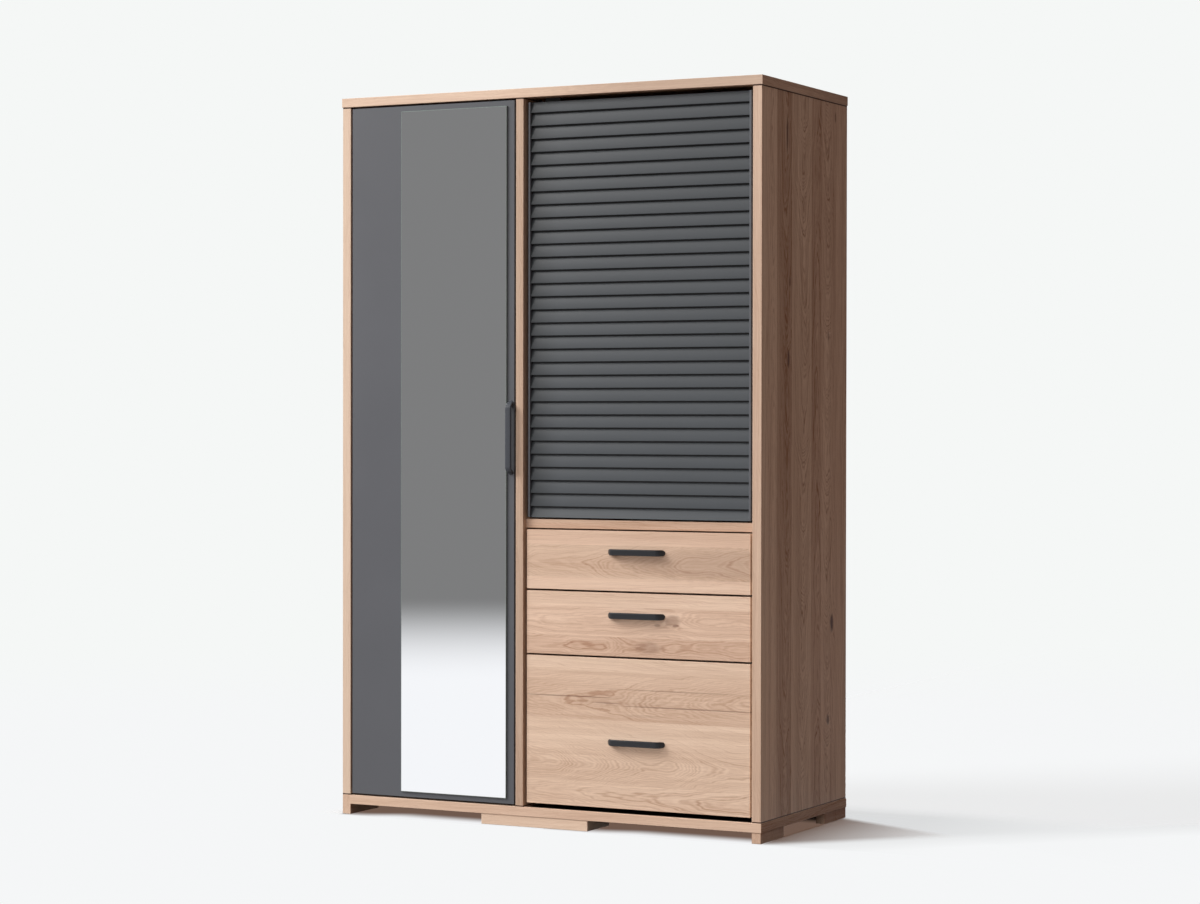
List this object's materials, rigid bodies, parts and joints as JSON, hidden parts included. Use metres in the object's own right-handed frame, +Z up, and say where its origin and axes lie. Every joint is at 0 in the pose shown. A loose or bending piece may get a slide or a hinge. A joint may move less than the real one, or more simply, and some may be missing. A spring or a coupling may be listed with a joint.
{
  "type": "chifforobe",
  "caption": "Oak-look wardrobe with a tall mirror door on the left and a louvred door above drawers on the right, on low block feet.",
  "frame": {"origin": "on the floor, under the middle of the closed piece's outer box", "axes": "+X to the right seen from the front, the front faces -Y, +Z up"},
  "size_m": [1.284, 0.599, 2],
  "materials": {
    "oak": "matt oiled oak",
    "anthracite_lacquer": "matt lacquered board",
    "mirror": "silvered",
    "handle_lacquer": "fine matt powder coat",
    "thin_board": "printed fibreboard",
    "drawer_board": "matt foil",
    "runner_steel": "zinc plated",
    "hinge_nickel": "nickel plated",
    "rail_chrome": "polished",
    "catch_plastic": "plain"
  },
  "bodies": {
    "carcass": {"back_panel_left": "thin_board", "back_panel_right": "thin_board", "bottom_panel": "oak", "centre_divider": "oak", "clothes_rail": "rail_chrome", "clothes_rail_sockets": "rail_chrome", "drawer_runner_cabinet_members": "runner_steel", "fixed_shelf": "oak", "front_centre_foot": "oak", "front_left_foot": "oak", "front_right_foot": "oak", "hat_shelf": "oak", "left_side_panel": "oak", "louvre_door_hinge_arms": "hinge_nickel", "louvre_door_hinge_plates": "hinge_nickel", "lower_shelf": "oak", "magnetic_catches": "catch_plastic", "mirror_door_hinge_arms": "hinge_nickel", "mirror_door_hinge_plates": "hinge_nickel", "rear_centre_foot": "oak", "rear_left_foot": "oak", "rear_right_foot": "oak", "right_side_panel": "oak", "shelf_supports": "hinge_nickel", "top_panel": "oak", "upper_shelf": "oak", "wall_brackets": "hinge_nickel"},
    "mirror_door": {"mirror_door_catch_plate": "hinge_nickel", "mirror_door_handle": "handle_lacquer", "mirror_door_hinge_cups": "hinge_nickel", "mirror_door_hinge_pins": "hinge_nickel", "mirror_door_panel": "anthracite_lacquer", "mirror_glass": "mirror"},
    "louvre_door": {"louvre_door_catch_plate": "hinge_nickel", "louvre_door_edge_strips": "anthracite_lacquer", "louvre_door_hinge_cups": "hinge_nickel", "louvre_door_hinge_pins": "hinge_nickel", "louvre_door_panel": "anthracite_lacquer", "louvre_slats": "anthracite_lacquer"},
    "top_drawer": {"top_drawer_bottom": "thin_board", "top_drawer_box_boards": "drawer_board", "top_drawer_front": "oak", "top_drawer_handle": "handle_lacquer", "top_drawer_runner_drawer_members": "runner_steel"},
    "top_runner_middle": {"top_drawer_runner_middle_members": "runner_steel"},
    "middle_drawer": {"middle_drawer_bottom": "thin_board", "middle_drawer_box_boards": "drawer_board", "middle_drawer_front": "oak", "middle_drawer_handle": "handle_lacquer", "middle_drawer_runner_drawer_members": "runner_steel"},
    "middle_runner_middle": {"middle_drawer_runner_middle_members": "runner_steel"},
    "bottom_drawer": {"bottom_drawer_bottom": "thin_board", "bottom_drawer_box_boards": "drawer_board", "bottom_drawer_front": "oak", "bottom_drawer_handle": "handle_lacquer", "bottom_drawer_runner_drawer_members": "runner_steel"},
    "bottom_runner_middle": {"bottom_drawer_runner_middle_members": "runner_steel"}
  },
  "joints": [
    {"name": "mirror_door_hinge", "type": "hinge", "parent": "carcass", "child": "mirror_door", "pos_m": [-0.591, -0.2685, 1], "axis": [0, 0, -1], "range_deg": [0, 105]},
    {"name": "louvre_door_hinge", "type": "hinge", "parent": "carcass", "child": "louvre_door", "pos_m": [0.587, -0.2505, 1.4], "axis": [0, 0, 1], "range_deg": [0, 100]},
    {"name": "top_drawer_slide", "type": "slide", "parent": "carcass", "child": "top_drawer", "axis": [0, -1, 0], "range_m": [0, 0.44]},
    {"name": "top_runner_slide", "type": "slide", "parent": "carcass", "child": "top_runner_middle", "axis": [0, -1, 0], "range_m": [0, 0.22]},
    {"name": "middle_drawer_slide", "type": "slide", "parent": "carcass", "child": "middle_drawer", "axis": [0, -1, 0], "range_m": [0, 0.44]},
    {"name": "middle_runner_slide", "type": "slide", "parent": "carcass", "child": "middle_runner_middle", "axis": [0, -1, 0], "range_m": [0, 0.22]},
    {"name": "bottom_drawer_slide", "type": "slide", "parent": "carcass", "child": "bottom_drawer", "axis": [0, -1, 0], "range_m": [0, 0.44]},
    {"name": "bottom_runner_slide", "type": "slide", "parent": "carcass", "child": "bottom_runner_middle", "axis": [0, -1, 0], "range_m": [0, 0.22]}
  ],
  "couplings": [
    {"joint": "top_runner_slide", "follows": "top_drawer_slide", "ratio": 0.5},
    {"joint": "middle_runner_slide", "follows": "middle_drawer_slide", "ratio": 0.5},
    {"joint": "bottom_runner_slide", "follows": "bottom_drawer_slide", "ratio": 0.5}
  ]
}
